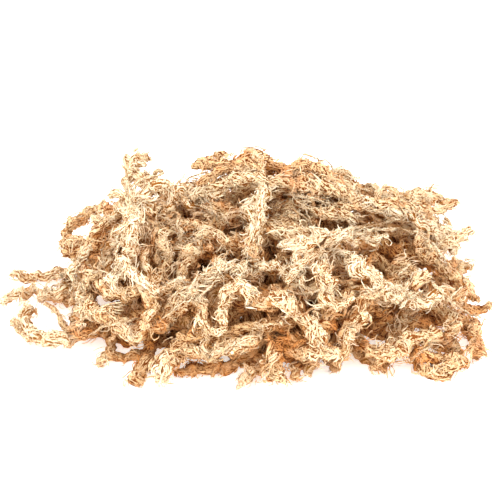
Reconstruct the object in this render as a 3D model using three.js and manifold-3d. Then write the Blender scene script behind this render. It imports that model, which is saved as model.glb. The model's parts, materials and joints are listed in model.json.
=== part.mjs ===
// A clump of dried sphagnum moss: a loose heap of long strands. A strand is one leafy stem with rows of
// short branches round it from end to end, and some strands end in a dense head. The strands are laid down
// in turn, from the table up, and each rests on those that already lie there, so the heap holds itself up
// and no two strands meet. Millimetres, +Z up. The origin is on the table under the middle of the heap, +X
// runs along its length, and -Y is its front.

import * as THREE from "three";
import { mergeVertices } from "three/addons/utils/BufferGeometryUtils.js";
import Module from "manifold-3d";

const wasm = await Module();
wasm.setup();

// ---- Driving dimensions ----
const STEP = 1.5; // between two points of a strand's line
const MIDDLE = [0.6, 0.3]; // moves the heap, so that the origin is under its middle

// How strands lie on each other
const NEST = 1.2; // how far two strands that touch sink in between each other's branches
const CLEAR = 0.25; // left under a strand where it rests on another
const RISE = 0.1; // a strand whose branches still cross another's is raised by steps of this
const SEAT = 0.74; // height of a strand's line over the table, as a share of its radius
const SLACK = 22; // rounds of smoothing: more of them make a stiffer strand, which bridges wider hollows
const SOFTEN = 6; // rounds that take the sharpest kinks out of its line once it lies
const CROOK = 0.7; // largest radius in a tight bend, as a share of the bend's own

// A strand's branches
const ROW = 3.8; // along a strand, from one row of branches to the next
const ROW_BRANCHES = 3; // branches round the stem in one row; the next row's stand between them
const SIDES = 2 * ROW_BRANCHES;
const BRANCH_AHEAD = 0.9; // how far the tip of a branch lies ahead of its row, as a share of that pitch
const SHORT_BRANCH = 0.7; // length of the shortest branches, as a share of the longest
const NOTCH_SHARE = 0.52; // radius where two branches of a row part, as a share of the strand's radius
const NOTCH_BACK = 0.3; // how far that lies behind the row, as a share of the pitch
const PRESS = 0.85; // a row whose faces cross others in a bend is pressed in to this share, again and again

// A strand's ends and thick places
const TAIL = 12; // the old end thins out over this length
const TAIL_SHARE = 0.45; // radius at the old end, as a share of the strand's radius
const TIP = 7; // the growing end closes over this length
const HEAD = 10; // length of a dense head
const LUMP = { every: 19, share: 0.12 };

// A placed strand's crinkles
const CRINKLE = { size: 0.7, wave: 13, across: 1.3 };

// ---- The form of the heap: a low dome, flat on top and steep at its foot ----
const HEAP = { middle: [5, 1], halfLength: 81, halfDepth: 56, height: 50, endPower: 2.6, sidePower: 2.2 };

// ---- Strands at the foot of the heap, from the growing end inwards: [x, y] or [x, y, least height] ----
const FOOT = [
  { name: "left_rear_tip", girth: 3.1, colour: "straw",
    route: [[-87, 20], [-80, 23], [-74, 19], [-64, 29], [-53, 28], [-47, 15], [-42, 1]] },
  { name: "left_tip", girth: 3.0, colour: "cream",
    route: [[-90, 2], [-83, 3], [-76, 12], [-67, 3], [-56, 8], [-40, 5]] },
  { name: "left_hook", girth: 3.7, colour: "cream",
    route: [[-78, -3], [-80, -14], [-76, -24], [-64, -27], [-55, -15], [-44, -5], [-38, 8]] },
  { name: "front_left_low", girth: 3.6, colour: "straw",
    route: [[-52, -38], [-45, -32], [-37, -33], [-28, -21], [-14, -17]] },
  { name: "front_left_tip", girth: 3.6, colour: "tan",
    route: [[-36, -52], [-40, -44], [-32, -37], [-22, -31], [-20, -17]] },
  { name: "front_low", girth: 3.8, colour: "straw",
    route: [[-24, -46], [-14, -41], [-7, -42], [1, -35], [13, -28]] },
  { name: "front_tip", girth: 3.1, colour: "cream",
    route: [[-3, -55], [1, -48], [6, -43], [12, -33], [10, -17]] },
  { name: "front_ragged", girth: 3.8, colour: "straw",
    route: [[15, -50], [18, -42], [19, -34], [13, -24], [5, -15]] },
  { name: "front_blunt", girth: 3.6, head: 1.2, colour: "cream",
    route: [[30, -43], [31, -34], [28, -24], [16, -17], [2, -10]] },
  { name: "front_right_lobe", girth: 3.7, head: 1.2, colour: "cream",
    route: [[49, -43], [43, -35], [36, -29], [29, -19], [20, -8]] },
  { name: "right_loop", girth: 3.9, colour: "tan",
    route: [[55, -29], [60, -39], [68, -47], [75, -41], [71, -29], [60, -21], [44, -17], [29, -13]] },
  { name: "right_spiky", girth: 3.5, head: 0.6, colour: "rust",
    route: [[83, -38], [79, -29], [82, -18], [74, -11], [62, -8], [50, -12], [44, -23]] },
  { name: "right_tip", girth: 3.1, colour: "rust",
    route: [[89, 0], [80, -1], [72, 5], [61, 2], [53, -7], [44, -9]] },
  { name: "right_rear_head", girth: 3.9, head: 1.6, colour: "cream",
    route: [[81, 47, 6], [74, 45, 5], [67, 39, 4], [56, 35], [44, 35]] },
  { name: "right_lobe", girth: 3.6, head: 1.4, colour: "straw",
    route: [[82, 25], [74, 28], [65, 26, 5], [56, 31, 7], [47, 36, 9], [38, 33, 8]] },
];

// ---- The layers of the heap that follow a rule, from the table up ----
// A strand of a layer is the best of many tries: the one that brings the top of the heap nearest to its
// form at a level, which goes up from strand to strand.
const TRIES = 120;
const OUTSIDE = 30; // how strongly a try that leaves the heap's form counts against it
const EVEN = 20; // the smaller, the more the low edges of the heap are filled before its middle
const REACH = 0.9; // how far out the middle of a strand can lie, as a share of the heap
const HEADED = { share: 0.4, head: 1.2 }; // how many strands end in a dense head, and how far it stands out
const LAYERS = [
  { name: "base", count: 10, from: 0.18, to: 0.4, length: 108, girth: 4.0, seed: 22 },
  { name: "lower", count: 9, from: 0.43, to: 0.62, length: 112, girth: 4.0, seed: 23 },
  { name: "middle", count: 10, from: 0.65, to: 0.82, length: 104, girth: 3.9, seed: 37 },
  { name: "upper", count: 7, from: 0.84, to: 0.92, length: 96, girth: 3.6, seed: 41 },
];

// A strand's line winds by these bends: how far it turns, in radians, and the shortest and longest wave.
const BENDS = [
  { turn: 0.8, short: 55, long: 95 },
  { turn: 0.7, short: 26, long: 38 },
  { turn: 0.45, short: 12, long: 17 },
];

// ---- Strands on top of the heap, from the growing end inwards: [x, y, least height] ----
const CROWN = [
  { name: "left_arch", girth: 3.1, colour: "tan",
    route: [[-67, 36], [-66, 41, 5], [-60, 45, 11], [-54, 44, 13], [-46, 39, 12], [-34, 31, 14]] },
  { name: "upright_stem", girth: 2.7, colour: "stem",
    route: [[-45, 44, 36], [-44, 42, 29], [-42, 38, 22], [-46, 29, 18], [-54, 19, 14]] },
  { name: "rear_left_tuft", girth: 3.5, colour: "straw",
    route: [[-36, 43, 35], [-42, 41, 32], [-36, 31, 28], [-24, 27, 30], [-10, 31, 32]] },
  { name: "rear_right_tuft", girth: 3.5, colour: "straw",
    route: [[46, 37, 25], [41, 35, 31], [32, 31, 35], [22, 31, 38], [10, 25, 40]] },
  { name: "right_rear_tuft", girth: 3.4, colour: "tan",
    route: [[77, 40, 18], [71, 39, 18], [64, 38, 19], [54, 33, 22], [42, 25, 26]] },
  { name: "ridge", girth: 3.7, colour: "rust",
    route: [[34, 21, 38], [24, 25, 42], [12, 23, 44], [2, 29, 44], [-8, 25, 44], [-20, 29, 42]] },
  { name: "pale_bow", girth: 3.5, colour: "cream",
    route: [[17, -25, 14], [24, -19, 20], [31, -11, 24], [40, -4, 26], [50, 2, 26]] },
  { name: "right_fall", girth: 3.5, colour: "cream",
    route: [[75, 2, 10], [70, 4, 16], [64, 10, 20], [55, 13, 24], [46, 15, 28], [34, 19, 32]] },
  { name: "front_fall", girth: 3.4, colour: "stem",
    route: [[-1, -14, 20], [6, -6, 30], [1, 4, 36], [8, 13, 40], [3, 24, 42]] },
];

// Each placed strand has a stream of its own, numbered on from here.
const SEEDS = { foot: 700, crown: 800, branches: 500 };

const COLOURS = { straw: 0xdcb684, cream: 0xead3a6, tan: 0xc79b66, rust: 0xc48a5c, stem: 0xe6cfa8 };
const LAYER_COLOURS = ["straw", "cream", "tan", "straw"];

// A repeatable stream of numbers from 0 to 1.
function stream(seed) {
  let state = (seed * 2654435761) >>> 0;
  return () => {
    state = (Math.imul(state, 1664525) + 1013904223) >>> 0;
    return state / 4294967296;
  };
}

// The height of the finished heap over a place on the table.
function heapHeight(x, y) {
  const along = Math.abs((x - HEAP.middle[0]) / HEAP.halfLength) ** HEAP.endPower;
  const across = Math.abs((y - HEAP.middle[1]) / HEAP.halfDepth) ** HEAP.sidePower;
  return HEAP.height * Math.sqrt(Math.max(0, 1 - along - across));
}

// ---- The line that a strand follows, seen from above, from its old end ----

// A strand of a layer winds to both sides of its heading.
function wander(middle, heading, length, draw) {
  const count = Math.round(length / STEP);
  const bends = BENDS.map(({ turn, short, long }) => ({
    turn,
    wave: short + (long - short) * draw(),
    start: 2 * Math.PI * draw(),
  }));
  const line = [];
  let x = 0;
  let y = 0;
  for (let i = 0; i <= count; i++) {
    line.push({ x, y, least: 0 });
    const turnOf = ({ turn, wave, start }) => turn * Math.sin((2 * Math.PI * i * STEP) / wave + start);
    const ahead = bends.reduce((sum, bend) => sum + turnOf(bend), heading);
    x += STEP * Math.cos(ahead);
    y += STEP * Math.sin(ahead);
  }
  const half = line[Math.round(count / 2)];
  const [dx, dy] = [middle[0] - half.x, middle[1] - half.y];
  for (const p of line) {
    p.x += dx;
    p.y += dy;
  }
  return line;
}

// A placed strand runs through its route's points, and crinkles a little on the way.
function through(route, draw) {
  const points = route.map(([x, y, least = 0]) => new THREE.Vector3(x, y, least)).reverse();
  const curve = new THREE.CatmullRomCurve3(points, false, "catmullrom", 0.5);
  const count = Math.round(curve.getLength() / STEP);
  const start = 2 * Math.PI * draw();
  return curve.getSpacedPoints(count).map((p, i) => {
    const phase = (2 * Math.PI * i * STEP) / CRINKLE.wave + start;
    const x = p.x + CRINKLE.size * Math.sin(phase);
    const y = p.y + CRINKLE.size * Math.cos(phase * CRINKLE.across);
    return { x, y, least: p.z };
  });
}

// The radius of a strand, out to the tips of its branches.
function radiusAt(along, length, strand) {
  const tail = Math.min(1, TAIL_SHARE + ((1 - TAIL_SHARE) * along) / TAIL);
  const left = Math.max(0, length - along);
  const head = strand.head * Math.exp(-(((left - HEAD / 2) / (HEAD / 2)) ** 2));
  const tip = Math.sqrt(Math.min(1, (left + 0.4) / TIP));
  const lump = 1 + LUMP.share * Math.sin((2 * Math.PI * along) / LUMP.every + strand.phase);
  return (strand.girth * tail * lump + head) * tip;
}

// ---- Laying a strand down ----
const down = []; // every point that already lies in the heap: { x, y, z, r }

// The height that a point of radius r needs at (x, y) to clear what lies there.
function clearHeight(x, y, r) {
  let height = SEAT * r;
  for (const p of down) {
    const reach = r + p.r - NEST;
    const [dx, dy] = [x - p.x, y - p.y];
    const inside = reach * reach - dx * dx - dy * dy;
    if (inside > 0) height = Math.max(height, p.z + Math.sqrt(inside));
  }
  return height;
}

function lay(strand) {
  const { line } = strand;
  const last = line.length - 1;
  line.forEach((p, i) => (p.r = radiusAt(i * STEP, last * STEP, strand)));
  // A strand is springy: it sags between the places that hold it up, but only so far.
  const clear = line.map((p) => clearHeight(p.x, p.y, p.r));
  const need = line.map((p, i) => Math.max(p.least, clear[i]));
  let height = need.slice();
  for (let round = 0; round < SLACK; round++)
    height = height.map((h, i) =>
      Math.max(need[i], (height[Math.max(0, i - 1)] + 2 * h + height[Math.min(last, i + 1)]) / 4),
    );
  // Where its route would hold all of it in the air, it comes down until it touches.
  const drop = Math.min(...line.map((p, i) => height[i] - clear[i]));
  line.forEach((p, i) => (p.z = height[i] - drop));
  return strand;
}

// The height of what lies in the heap so far, over a place on the table.
function topHeight(x, y) {
  let height = 0;
  for (const p of down) {
    const [dx, dy] = [x - p.x, y - p.y];
    const inside = p.r * p.r - dx * dx - dy * dy;
    if (inside > 0) height = Math.max(height, p.z + Math.sqrt(inside));
  }
  return height;
}

// How much nearer a strand brings the top of the heap to its form at a level.
function gain(strand, level) {
  const sum = strand.line.reduce((total, p) => {
    const goal = level * heapHeight(p.x, p.y) || -OUTSIDE;
    return total + ((topHeight(p.x, p.y) - goal) ** 2 - (p.z + p.r - goal) ** 2) / (Math.abs(goal) + EVEN);
  }, 0);
  return sum / strand.line.length;
}

// ---- Solids ----
function solid(geometry) {
  return new wasm.Manifold(
    new wasm.Mesh({
      numProp: 3,
      vertProperties: geometry.attributes.position.array,
      triVerts: geometry.index.array,
    }),
  );
}

// Every point of a strand's line with the directions across it, which turn as little as can be on the way.
function frameLine(line, rounds) {
  const last = line.length - 1;
  const soften = (p, i, all) =>
    i === 0 || i === last ? p : p.clone().multiplyScalar(2).add(all[i - 1]).add(all[i + 1]).divideScalar(4);
  let places = line.map((p) => new THREE.Vector3(p.x, p.y, p.z));
  for (let round = 0; round < rounds; round++) places = places.map(soften);
  const aheads = places.map((place, i) =>
    places[Math.min(last, i + 1)].clone().sub(places[Math.max(0, i - 1)]).normalize(),
  );
  let across = new THREE.Vector3().crossVectors(aheads[0], new THREE.Vector3(0, 0, 1));
  return places.map((place, i) => {
    const ahead = aheads[i];
    const turn = aheads[Math.max(0, i - 1)].angleTo(aheads[Math.min(last, i + 1)]);
    across = across.clone().addScaledVector(ahead, -across.dot(ahead)).normalize();
    const r = Math.min(line[i].r, (CROOK * 2 * STEP) / Math.max(turn, 0.001));
    return { place, right: across, over: new THREE.Vector3().crossVectors(across, ahead), r };
  });
}

// The place on a strand's line at a distance from its old end, with the directions and the radius there.
function pointAt(frames, along) {
  const at = Math.min(frames.length - 1.001, Math.max(0, along / STEP));
  const [a, b, t] = [frames[Math.floor(at)], frames[Math.floor(at) + 1], at % 1];
  const mix = (name) => a[name].clone().lerp(b[name], t);
  return {
    place: mix("place"),
    right: mix("right").normalize(),
    over: mix("over").normalize(),
    r: a.r + t * (b.r - a.r),
  };
}

// Rings of points along the line, one for each row of branches. Every other point of a ring is the tip of a
// branch, which reaches out and forward, and the points between them are where two branches part.
function branchPoints(frames, sizes, reach) {
  const length = (frames.length - 1) * STEP;
  const pitch = length / (reach.length - 1 + BRANCH_AHEAD);
  const points = [pointAt(frames, 0).place, pointAt(frames, length).place];
  for (const [k, size] of sizes.entries()) {
    const row = Math.floor(k / SIDES);
    const side = k % SIDES;
    const isTip = (row + side) % 2 === 0;
    const ahead = reach[row] * (isTip ? BRANCH_AHEAD * size : -NOTCH_BACK);
    const { place, right, over, r } = pointAt(frames, (row + ahead) * pitch);
    const radius = r * reach[row] * (isTip ? (1 + size) / 2 : NOTCH_SHARE);
    const angle = (2 * Math.PI * side) / SIDES;
    place.addScaledVector(right, radius * Math.cos(angle)).addScaledVector(over, radius * Math.sin(angle));
    points.push(place);
  }
  return points;
}

// Each branch has two faces above its underside and two below it, and a fan of faces closes each end.
function branchFaces(rows) {
  const at = (row, side) => 2 + row * SIDES + (side % SIDES);
  const faces = [];
  for (let row = 0; row <= rows; row++)
    for (let side = 0; side < SIDES; side++) {
      const [here, next] = [at(row, side), at(row, side + 1)];
      const [above, beyond] = [at(row + 1, side), at(row + 1, side + 1)];
      if (row === 0) faces.push([0, here, next]);
      if (row === rows) faces.push([1, next, here]);
      else if ((row + side) % 2 === 0) faces.push([here, above, next], [next, above, beyond]);
      else faces.push([here, beyond, next], [here, above, beyond]);
    }
  return faces;
}

// Whether an edge of one face goes through another that it has no corner in common with.
function pierces(face, other, points) {
  const [p, q, s] = other.map((corner) => points[corner]);
  return face.some((from, i) => {
    const to = face[(i + 1) % 3];
    if (other.includes(from) || other.includes(to)) return false;
    const way = points[to].clone().sub(points[from]);
    const ray = new THREE.Ray(points[from], way.clone().normalize());
    const hit = ray.intersectTriangle(p, q, s, false, new THREE.Vector3());
    return hit !== null && hit.distanceTo(points[from]) < way.length();
  });
}

// The rows of branches whose faces cross others of the same strand.
function crossedRows(points, faces) {
  const boxes = faces.map((face) => new THREE.Box3().setFromPoints(face.map((corner) => points[corner])));
  const cross = (i, j) =>
    boxes[i].intersectsBox(boxes[j]) &&
    (pierces(faces[i], faces[j], points) || pierces(faces[j], faces[i], points));
  const rows = new Set();
  const rowOf = (corner) => Math.floor((corner - 2) / SIDES);
  for (let i = 0; i < faces.length; i++)
    for (let j = i + 1; j < faces.length; j++)
      if (cross(i, j)) for (const corner of [...faces[i], ...faces[j]]) if (corner > 1) rows.add(rowOf(corner));
  return rows;
}

// In the crook of a bend the branches are pressed to the stem and the bend is eased, until no faces cross.
function strandSolid(strand) {
  const rows = Math.round(((strand.line.length - 1) * STEP) / ROW);
  const draw = stream(strand.seed + SEEDS.branches);
  const sizes = Array.from({ length: (rows + 1) * SIDES }, () => SHORT_BRANCH + (1 - SHORT_BRANCH) * draw());
  const reach = Array(rows + 1).fill(1);
  const faces = branchFaces(rows);
  for (let rounds = SOFTEN; ; rounds += 2) {
    const points = branchPoints(frameLine(strand.line, rounds), sizes, reach);
    const crossed = crossedRows(points, faces);
    if (crossed.size === 0)
      return solid(new THREE.BufferGeometry().setFromPoints(points).setIndex(faces.flat()));
    for (const row of crossed) reach[row] *= PRESS;
  }
}

function boxUnderTable() {
  const box = new THREE.BoxGeometry(400, 400, 40).translate(0, 0, -20);
  box.deleteAttribute("normal");
  box.deleteAttribute("uv");
  return solid(mergeVertices(box));
}

const underTable = boxUnderTable();
const bodies = [];

// A strand where it ends up, clear of the others, with what would be under the table cut off.
function strandBody(strand) {
  let body = strandSolid(strand);
  const meets = (it) => bodies.some((other) => it.intersect(other).volume() > 0);
  while (meets(body) || meets(body.translate([0, 0, -CLEAR]))) body = body.translate([0, 0, RISE]);
  body = body.subtract(underTable);
  bodies.push(body);
  return body;
}

function strandMesh(strand) {
  const { vertProperties, triVerts } = strandBody(strand).getMesh();
  const geometry = new THREE.BufferGeometry();
  geometry.setAttribute("position", new THREE.BufferAttribute(vertProperties, 3));
  geometry.setIndex(new THREE.BufferAttribute(triVerts, 1));
  geometry.translate(...MIDDLE, 0);
  geometry.computeVertexNormals();
  const look = { color: COLOURS[strand.colour], roughness: 0.9, metalness: 0 };
  const mesh = new THREE.Mesh(geometry, new THREE.MeshStandardMaterial(look));
  mesh.name = `${strand.name}_strand`;
  return mesh;
}

// ---- The heap ----
const clump = new THREE.Group();

function put(strand) {
  down.push(...strand.line);
  clump.add(strandMesh(strand));
}

function putPlaced(strands, firstSeed) {
  for (const [k, { route, head = 0, ...rest }] of strands.entries()) {
    const seed = firstSeed + k;
    const draw = stream(seed);
    put(lay({ ...rest, head, seed, phase: 2 * Math.PI * draw(), line: through(route, draw) }));
  }
}

function tryStrand(layer, k, draw) {
  const angle = 2 * Math.PI * draw();
  const out = REACH * Math.sqrt(draw());
  const middle = [
    HEAP.middle[0] + HEAP.halfLength * out * Math.cos(angle),
    HEAP.middle[1] + HEAP.halfDepth * out * Math.sin(angle),
  ];
  const heading = 2 * Math.PI * draw();
  const length = layer.length * (0.8 + 0.4 * draw());
  return lay({
    name: `${layer.name}_${String(k + 1).padStart(2, "0")}`,
    line: wander(middle, heading, length, draw),
    girth: layer.girth * (0.9 + 0.2 * draw()),
    head: draw() < HEADED.share ? HEADED.head : 0,
    phase: 2 * Math.PI * draw(),
    seed: layer.seed * 100 + k,
    colour: LAYER_COLOURS[Math.floor(draw() * LAYER_COLOURS.length)],
  });
}

function putLayer(layer) {
  const draw = stream(layer.seed);
  for (let k = 0; k < layer.count; k++) {
    const level = layer.from + ((layer.to - layer.from) * k) / (layer.count - 1);
    let best = { gain: -Infinity };
    for (let t = 0; t < TRIES; t++) {
      const strand = tryStrand(layer, k, draw);
      strand.gain = gain(strand, level);
      if (strand.gain > best.gain) best = strand;
    }
    put(best);
  }
}

putPlaced(FOOT, SEEDS.foot);
LAYERS.forEach(putLayer);
putPlaced(CROWN, SEEDS.crown);

export default clump;
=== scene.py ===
"""A clump of dried sphagnum moss: a loose heap of long shaggy strands that lie over one another.

Each strand of the frame is replaced by a ribbed body with hundreds of thin curled branches, which follows
the middle of the frame's own solid from end to end. Tufts, bare stems and scraps of the same moss lie on the
heap and between its strands.
"""

import sys

import heapq
import json
import logging
import math
from dataclasses import dataclass, field
from enum import Enum
from typing import Any, Iterator

import bpy
import numpy as np
from mathutils import Euler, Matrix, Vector
from mathutils.bvhtree import BVHTree

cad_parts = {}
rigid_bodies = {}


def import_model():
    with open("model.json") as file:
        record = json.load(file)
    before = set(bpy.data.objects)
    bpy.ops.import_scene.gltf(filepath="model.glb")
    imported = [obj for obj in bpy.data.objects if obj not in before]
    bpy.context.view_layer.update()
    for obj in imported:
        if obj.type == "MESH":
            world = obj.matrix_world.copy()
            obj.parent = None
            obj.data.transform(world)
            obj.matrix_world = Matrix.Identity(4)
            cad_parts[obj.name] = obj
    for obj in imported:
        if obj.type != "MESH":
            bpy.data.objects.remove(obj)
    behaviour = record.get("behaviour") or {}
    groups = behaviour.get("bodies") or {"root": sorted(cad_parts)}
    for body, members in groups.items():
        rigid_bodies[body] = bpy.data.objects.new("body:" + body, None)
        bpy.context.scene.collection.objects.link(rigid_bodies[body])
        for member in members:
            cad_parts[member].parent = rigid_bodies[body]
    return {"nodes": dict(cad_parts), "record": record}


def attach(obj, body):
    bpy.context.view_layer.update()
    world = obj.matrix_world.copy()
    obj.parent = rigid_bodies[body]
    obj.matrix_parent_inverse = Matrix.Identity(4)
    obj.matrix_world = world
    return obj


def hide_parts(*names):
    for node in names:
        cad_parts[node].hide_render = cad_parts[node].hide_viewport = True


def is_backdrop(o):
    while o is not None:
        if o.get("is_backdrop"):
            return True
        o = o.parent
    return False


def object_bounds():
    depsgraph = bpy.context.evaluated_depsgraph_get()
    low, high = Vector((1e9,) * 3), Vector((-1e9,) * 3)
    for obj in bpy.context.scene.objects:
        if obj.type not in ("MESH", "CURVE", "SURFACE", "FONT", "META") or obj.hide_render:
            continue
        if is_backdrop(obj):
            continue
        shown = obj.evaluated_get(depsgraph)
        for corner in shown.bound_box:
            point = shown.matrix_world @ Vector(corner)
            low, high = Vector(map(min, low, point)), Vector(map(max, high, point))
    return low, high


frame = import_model()

LOG = logging.getLogger("moss")
MM = 0.001
GOLDEN_ANGLE = math.pi * (3 - math.sqrt(5))
CORE = Vector((0, 0, 0.02))  # a place inside the heap
LOWEST_MIDDLE = 0.6 * MM  # how near the table the middle of a piece may come
BODY_SHADE = 0.45
# The body's tip value: low, so that the body's grooves take the painted shade.
BODY_TIP = 0.25
FIRST_SEED = 100
SEED_STEP = 20
LOOSE_SEED = 77
Colour = tuple[float, float, float]
Pixel = tuple[float, float]


def rgb(code: int) -> Colour:
    """Turns a screen colour into the linear one that shaders use.

    Args:
        code: The colour as 0xRRGGBB.

    Returns:
        The linear red, green and blue.
    """
    parts = [(code >> shift & 255) / 255 for shift in (16, 8, 0)]
    return tuple(p / 12.92 if p <= 0.04045 else ((p + 0.055) / 1.055) ** 2.4 for p in parts)


# ---- Node trees ----


class Wire:
    """A socket that Python's operators act on, each through a Math node."""

    def __init__(self, graph: "Graph", socket: bpy.types.NodeSocket) -> None:
        """Keeps the socket and the graph that it belongs to."""
        self.graph = graph
        self.socket = socket

    def math(self, operation: str, *values: Any) -> "Wire":
        """Adds a Math node.

        Args:
            operation: The node's operation.
            values: What goes into its sockets after the wire itself.

        Returns:
            The result.
        """
        return self.graph.add("ShaderNodeMath", dict(enumerate((self, *values))), operation=operation)

    def __add__(self, other: Any) -> "Wire":
        """Adds."""
        return self.math("ADD", other)

    __radd__ = __add__

    def __sub__(self, other: Any) -> "Wire":
        """Subtracts."""
        return self.math("SUBTRACT", other)

    def __rsub__(self, other: Any) -> "Wire":
        """Subtracts from a number."""
        return self.math("MULTIPLY", -1.0).math("ADD", other)

    def __mul__(self, other: Any) -> "Wire":
        """Multiplies."""
        return self.math("MULTIPLY", other)

    __rmul__ = __mul__

    def __truediv__(self, other: Any) -> "Wire":
        """Divides."""
        return self.math("DIVIDE", other)

    def __pow__(self, other: Any) -> "Wire":
        """Raises to a power."""
        return self.math("POWER", other)

    def between(self, low: float, high: float) -> "Wire":
        """Spreads the values from low to high over 0 to 1.

        Args:
            low: The value that becomes 0.
            high: The value that becomes 1.

        Returns:
            The spread value, never outside 0 to 1.
        """
        values = {"Value": self, "From Min": low, "From Max": high}
        return self.graph.add("ShaderNodeMapRange", values, clamp=True)


class Graph:
    """Adds nodes to a node tree."""

    def __init__(self, tree: bpy.types.NodeTree) -> None:
        """Keeps the tree."""
        self.tree = tree

    def node(
        self, kind: str, values: dict[int | str, Any] | None = None, **settings: Any
    ) -> bpy.types.Node:
        """Adds a node.

        Args:
            kind: The node's type.
            values: What goes into its sockets, by name or number: a wire or a plain value.
            settings: The node's own settings, which are set first.

        Returns:
            The node.
        """
        node = self.tree.nodes.new(kind)
        for name, value in settings.items():
            setattr(node, name, value)
        for key, value in (values or {}).items():
            live = [s for s in node.inputs if s.enabled]
            socket = node.inputs[key] if isinstance(key, int) else next(s for s in live if s.name == key)
            if isinstance(value, Wire):
                self.tree.links.new(value.socket, socket)
            else:
                socket.default_value = value
        return node

    def add(
        self,
        kind: str,
        values: dict[int | str, Any] | None = None,
        output: str | None = None,
        **settings: Any,
    ) -> Wire:
        """Adds a node and gives one of its outputs.

        Args:
            kind: The node's type.
            values: What goes into its sockets.
            output: The output's name, or None for the first one.
            settings: The node's own settings.

        Returns:
            The output.
        """
        node = self.node(kind, values, **settings)
        return self.output(node, output)

    def vector(self, operation: str, *values: Any, **named: Any) -> Wire:
        """Adds a Vector Math node.

        Args:
            operation: The node's operation.
            values: What goes into its vector sockets, in order.
            named: What goes into its sockets that have a name of their own.

        Returns:
            The result.
        """
        return self.add("ShaderNodeVectorMath", {**dict(enumerate(values)), **named}, operation=operation)

    def output(self, node: bpy.types.Node, name: str | None = None) -> Wire:
        """Gives a live output of a node, by its name, or the first one."""
        return Wire(self, next(s for s in node.outputs if s.enabled and name in (None, s.name)))


# ---- Finishes ----


class Tone(Enum):
    """The material slots, one for each tone that a strand can have."""

    STRAW = "straw_moss"
    CREAM = "cream_moss"
    TAN = "tan_moss"
    RUST = "rust_moss"
    STEM = "stem_moss"


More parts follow.
